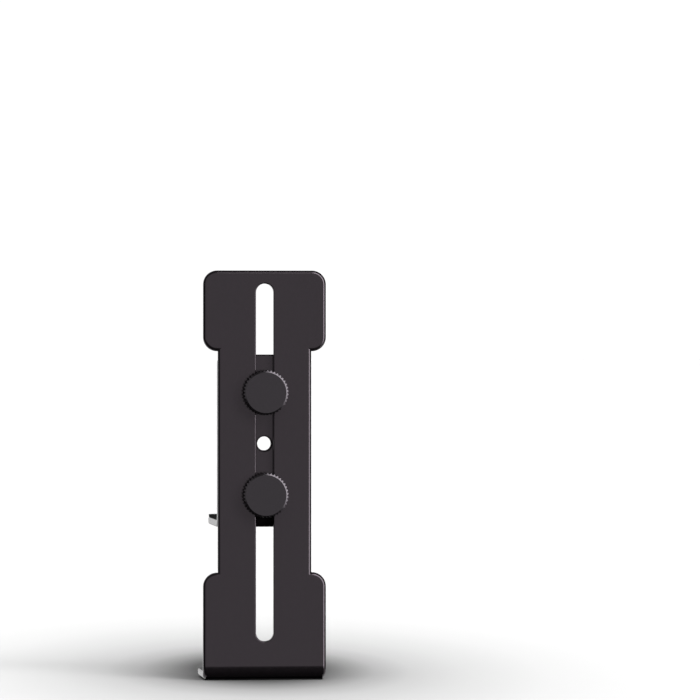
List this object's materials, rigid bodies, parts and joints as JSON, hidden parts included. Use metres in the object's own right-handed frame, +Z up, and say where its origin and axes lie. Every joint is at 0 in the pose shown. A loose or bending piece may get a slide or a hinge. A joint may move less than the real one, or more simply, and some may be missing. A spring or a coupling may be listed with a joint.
{
  "type": "graphics card support bracket",
  "caption": "Free-standing folded sheet stand with a slotted upright and a padded ledge that slides to height and is clamped by knurled thumbscrews, to hold up a sagging graphics card.",
  "frame": {"origin": "on the ground, on the underside of the base lining, below the middle of the folded foot", "axes": "+Z up along the upright, the front of the upright with the thumbscrews faces -Y, the ledge runs back along +Y, +X to the right seen from the front"},
  "size_m": [0.03, 0.0337, 0.1],
  "materials": {
    "coated_sheet": "satin dark grey coat on folded steel sheet",
    "black_screw": "satin black coat on turned steel",
    "black_foam": "matt closed-cell foam sheet"
  },
  "bodies": {
    "base": {"base_plate": "coated_sheet", "base_lining": "black_foam"},
    "arm": {"support_arm": "coated_sheet", "card_lining": "black_foam"},
    "lower_screw": {"thumbscrew_lower": "black_screw"},
    "upper_screw": {"thumbscrew_upper": "black_screw"}
  },
  "joints": [
    {"name": "height_slide", "type": "slide", "parent": "base", "child": "arm", "axis": [0, 0, 1], "range_m": [-0.0336, 0.0245]},
    {"name": "lower_screw_turn", "type": "hinge", "parent": "arm", "child": "lower_screw", "pos_m": [0, -0.012, 0.0452], "axis": [0, -1, 0], "range_deg": [0, 720]},
    {"name": "upper_screw_turn", "type": "hinge", "parent": "arm", "child": "upper_screw", "pos_m": [0, -0.012, 0.0702], "axis": [0, -1, 0], "range_deg": [0, 720]}
  ]
}
